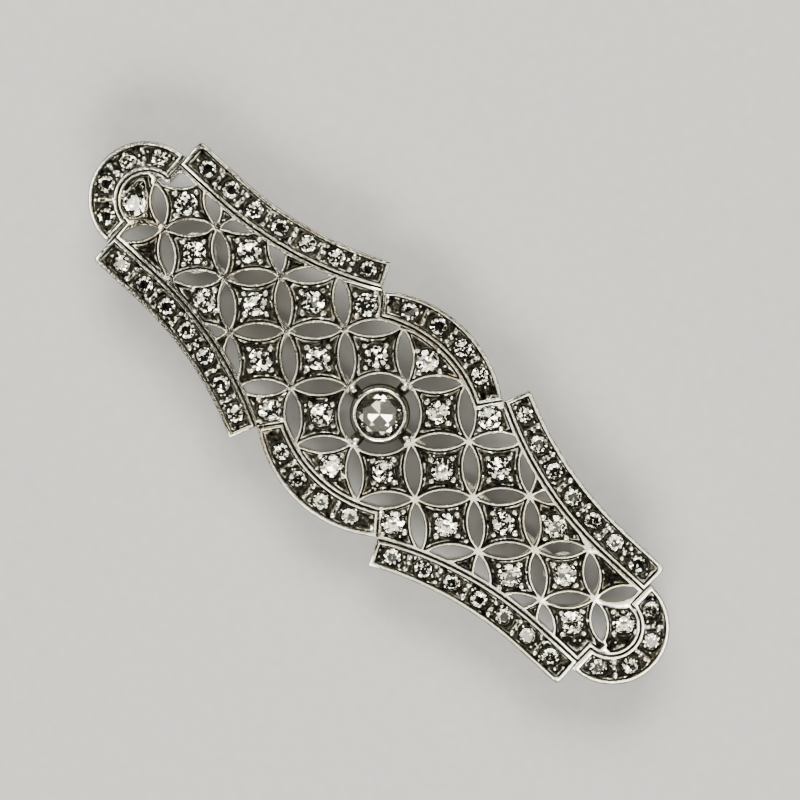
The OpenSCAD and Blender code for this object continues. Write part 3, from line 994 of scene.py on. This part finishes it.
def make_plates():
    """The worked silver round every stone: a thread at the seat, a plate, and a thread along the rims."""
    sheet = make_sheet()
    plates = []
    for i, ((m, n), (x, y)) in enumerate(zip(STONE_CELLS, LATTICE_PLACES), 1):
        inner = (lambda a: pear_seat(a) + PEAR_EDGE) if i == PEAR else (lambda a: CELL_R + PLAY + SEAT_EDGE)
        plates.append(raise_plate(sheet, x, y, inner, in_cell(m, n, CELL_KEEP)))
    plates.append(pear_thread(sheet))
    for m in COLUMN_RANGE:
        for n in ROW_RANGE:
            if (m + n) % 2 or (m, n) in STONE_CELLS or (m, n) == (0, 0):
                continue
            inside = in_cell(m, n, BARE_KEEP)
            spots = [
                (lattice_x(m) + SPOT_STEP * a, lattice_y(m, n) + SPOT_STEP * b)
                for a in SPOT_RANGE
                for b in SPOT_RANGE
            ]
            spots = [spot for spot in spots if inside(*spot)]
            if len(spots) > FEWEST_SPOTS:
                x, y = (sum(values) / len(spots) for values in zip(*spots))
                plates.append(raise_plate(sheet, x, y, lambda a: BARE_EDGE, inside))
    for name, places in BAND_RUNS.items():
        for k, (x, y) in enumerate(places):
            inside = in_band(name, places, k, BAND_KEEP)
            plates.append(raise_plate(sheet, x, y, lambda a: BAND_R + PLAY + BAND_EDGE, inside))
    drop(sheet)
    dress(joined(plates, "seat_plates"), PLAQUE_SILVER)


def pear_seat(a):
    """The pear's outline with its play, as a distance from the seat's middle."""
    best = []
    for step in range(PEAR_STEPS):
        t = math.tau * step / PEAR_STEPS
        x, y = pear_point(math.cos(t), math.sin(t))
        off = math.remainder(math.atan2(y, x) + math.radians(PEAR_TURN) - a, math.tau)
        best.append((abs(off), math.hypot(x, y)))
    return min(best)[1] * CELL_R + PLAY + SEAT_EDGE


# The drops on the bridges: how far out, how high, and half of their size.
DROP_OUT = 3.45
DROP_Z = FRONT_Z + 0.06
DROP_SIZE = (0.46, 0.34, 0.42)
# Ranges of chance for every grain: its three sizes as shares of its radius, and its lean.
GRAIN_SHARES = ((0.8, 1.35), (0.75, 1.1), (0.8, 1.15))
GRAIN_LEANS = (0, 16)
# The four large grains of a cell: their height, ranges of their turn, distance from the stone's middle and
# radius, and the one that gives way to the pear's tip.
GRAIN_Z = FRONT_Z - 0.04
GRAIN_TURNS = (-6, 6)
GRAIN_OUTS = (1.34, 1.46)
CELL_GRAIN_RS = (0.2, 0.29)
PEAR_TIP_QUARTER = 1
# The grains between two band stones: a pair, off the middle line to both sides, and a third one between them,
# low over the sunk floor, each with ranges of its drift and radius.
PAIR_SIDE = 0.64
PAIR_ACROSS = (-0.06, 0.06)
PAIR_ALONG = (-0.08, 0.08)
PAIR_RS = (0.19, 0.3)
THIRD_RISE = 0.2
THIRD_DRIFT = (-0.12, 0.12)
THIRD_RS = (0.15, 0.24)
# Small grains: how many are tried round each stone, how far they keep from the rims, and ranges of their
# distance from the middle of a lattice stone and of a band stone, height over the sunk floor and radius.
SMALL_TRIES = 9
SMALL_KEEP = 0.12
CELL_RING = (1.4, 2.1)
BAND_RING = (0.96, 1.4)
SMALL_RISES = (0.14, 0.26)
SMALL_RS = (0.08, 0.15)


def make_grains():
    """Grains pushed up beside every stone, no two alike, and the drops on the four bridges."""
    bead = make_bead()
    beads = []

    def add_bead(x, y, z, r):
        """One grain, drawn out, turned and leaning by chance."""
        size = Vector([chance.uniform(*share) for share in GRAIN_SHARES]) * r * MM
        turn = chance.uniform(*ANY_WAY)
        tip = at(x, y, z, turn, 1.0, chance.uniform(*GRAIN_LEANS), chance.uniform(*ANY_WAY))
        beads.append(copy_of(bead, tip @ Matrix.Diagonal((*size, 1))))

    def add_ring(x, y, ring, inside):
        """Small grains at random round one stone."""
        for _ in range(SMALL_TRIES):
            a = chance.uniform(0, math.tau)
            r = chance.uniform(*ring)
            spot = (x + r * math.cos(a), y + r * math.sin(a))
            if inside(*spot):
                add_bead(*spot, FLOOR_Z + chance.uniform(*SMALL_RISES), chance.uniform(*SMALL_RS))

    for i, ((m, n), (x, y)) in enumerate(zip(STONE_CELLS, LATTICE_PLACES), 1):
        for quarter in range(4):
            a = math.radians(90 * quarter + chance.uniform(*GRAIN_TURNS))
            r = chance.uniform(*GRAIN_OUTS)
            if i != PEAR or quarter != PEAR_TIP_QUARTER:
                add_bead(x + r * math.cos(a), y + r * math.sin(a), GRAIN_Z, chance.uniform(*CELL_GRAIN_RS))
        add_ring(x, y, CELL_RING, in_cell(m, n, SMALL_KEEP))
    for name, places in BAND_RUNS.items():
        for (x0, y0), (x1, y1) in zip(places, places[1:]):
            way = Vector((x1 - x0, y1 - y0)).normalized()
            side = Vector((-way.y, way.x))
            mid = Vector(((x0 + x1) / 2, (y0 + y1) / 2))
            for off in (-PAIR_SIDE, PAIR_SIDE):
                p = mid + side * (off + chance.uniform(*PAIR_ACROSS)) + way * chance.uniform(*PAIR_ALONG)
                add_bead(p.x, p.y, GRAIN_Z, chance.uniform(*PAIR_RS))
            p = mid + way * chance.uniform(*THIRD_DRIFT) + side * chance.uniform(*THIRD_DRIFT)
            add_bead(p.x, p.y, FLOOR_Z + THIRD_RISE, chance.uniform(*THIRD_RS))
        for k, (x, y) in enumerate(places):
            add_ring(x, y, BAND_RING, in_band(name, places, k, SMALL_KEEP))
    for quarter in range(4):
        a = math.radians(90 * quarter)
        spot = Vector((DROP_OUT * math.cos(a), DROP_OUT * math.sin(a), DROP_Z)) * MM
        size = Matrix.Diagonal((*(length * MM for length in DROP_SIZE), 1))
        beads.append(copy_of(bead, Matrix.Translation(spot) @ Matrix.Rotation(a, 4, "Z") @ size))
    drop(bead)
    dress(joined(beads, "grain_heads"), BEAD_SILVER)


def finish_pin():
    """The fitting stays as its solid is and gets its silver."""
    pin = NODES["brooch_pin"]
    pin.data.materials.clear()
    pin.data.materials.append(PIN_SILVER)


# The sheet of paper: its size in metres, its colours and its sheen.
FLOOR_SIZE = 3
PAPER = (0.228, 0.230, 0.2495, 1)
PAPER_FIBRE = (0.247, 0.249, 0.270, 1)
PAPER_ROUGH = 0.8


def make_floor():
    """A sheet of pale paper that the brooch lies on."""
    bpy.ops.mesh.primitive_plane_add(size=FLOOR_SIZE, location=(0, 0, 0))
    floor = bpy.context.object
    floor.name = "floor"
    material = bpy.data.materials.new("pale_paper")
    material.use_nodes = True
    tree = material.node_tree
    shader = tree.nodes["Principled BSDF"]
    fibre = noise(tree, object_place(tree), *FIBRE)
    colour = ramp(tree, fibre, (0.3, PAPER), (0.7, PAPER_FIBRE))
    tree.links.new(shader.inputs["Base Color"], colour)
    shader.inputs["Roughness"].default_value = PAPER_ROUGH
    floor.data.materials.append(material)


# Each light: name, place by the picture's right and up, height, two sizes and watts.
LIGHTS = (
    ("top_box", 0.0, 0.34, 0.34, 0.34, 0.22, 7.8),
    ("low_box", 0.02, -0.36, 0.32, 0.34, 0.22, 7.8),
    ("left_box", -0.36, 0.04, 0.32, 0.26, 0.16, 1.0),
    ("right_box", 0.38, -0.04, 0.30, 0.24, 0.14, 0.65),
    ("near_card", 0.025, -0.06, 0.44, 0.13, 0.10, 0.085),
)
# Every light's colour, and the point in metres that it is aimed at.
LIGHT_COLOUR = (1.0, 0.97, 0.82)
LIGHT_TARGET = Vector((0, 0, 0.006))
# The ring of small cards that the stones glint from: number, first turn, distance out, height, size, watts.
RING_CARDS = 5
RING_START = 20
RING_OUT = 0.135
RING_HEIGHT = 0.44
RING_SIZE = 0.053
RING_POWER = 0.14


def softbox(name, right, up, height, size_x, size_y, power):
    """An area light placed by the picture's own right and up, in metres, and aimed at the brooch."""
    data = bpy.data.lights.new(name, "AREA")
    data.shape = "RECTANGLE"
    data.size = size_x
    data.size_y = size_y
    data.energy = power
    data.color = LIGHT_COLOUR
    light = bpy.data.objects.new(name, data)
    spot = PICTURE_RIGHT * right + PICTURE_UP * up + Vector((0, 0, height))
    light.location = spot
    light.rotation_euler = (spot - LIGHT_TARGET).to_track_quat("Z", "Y").to_euler()
    bpy.context.scene.collection.objects.link(light)


def light_studio():
    """A dim room that glows a little near the floor, the soft boxes and the ring of cards."""
    world = bpy.data.worlds.new("studio")
    world.use_nodes = True
    tree = world.node_tree
    sky = node(tree, "ShaderNodeTexCoord").outputs["Generated"]
    height = node(tree, "ShaderNodeSeparateXYZ", [(0, sky)]).outputs[2]
    glow = ramp(tree, height, (0.0, 0.4), (0.05, 0.10), (0.45, 0.02))
    tree.links.new(tree.nodes["Background"].inputs[0], glow)
    bpy.context.scene.world = world
    for light in LIGHTS:
        softbox(*light)
    for k in range(RING_CARDS):
        a = math.radians(360 / RING_CARDS * k + RING_START)
        right, up = RING_OUT * math.cos(a), RING_OUT * math.sin(a)
        softbox(f"ring_card_{k}", right, up, RING_HEIGHT, RING_SIZE, RING_SIZE, RING_POWER)


make_camera()
make_plaque()
set_stones()
make_plates()
make_grains()
finish_pin()
make_floor()
light_studio()
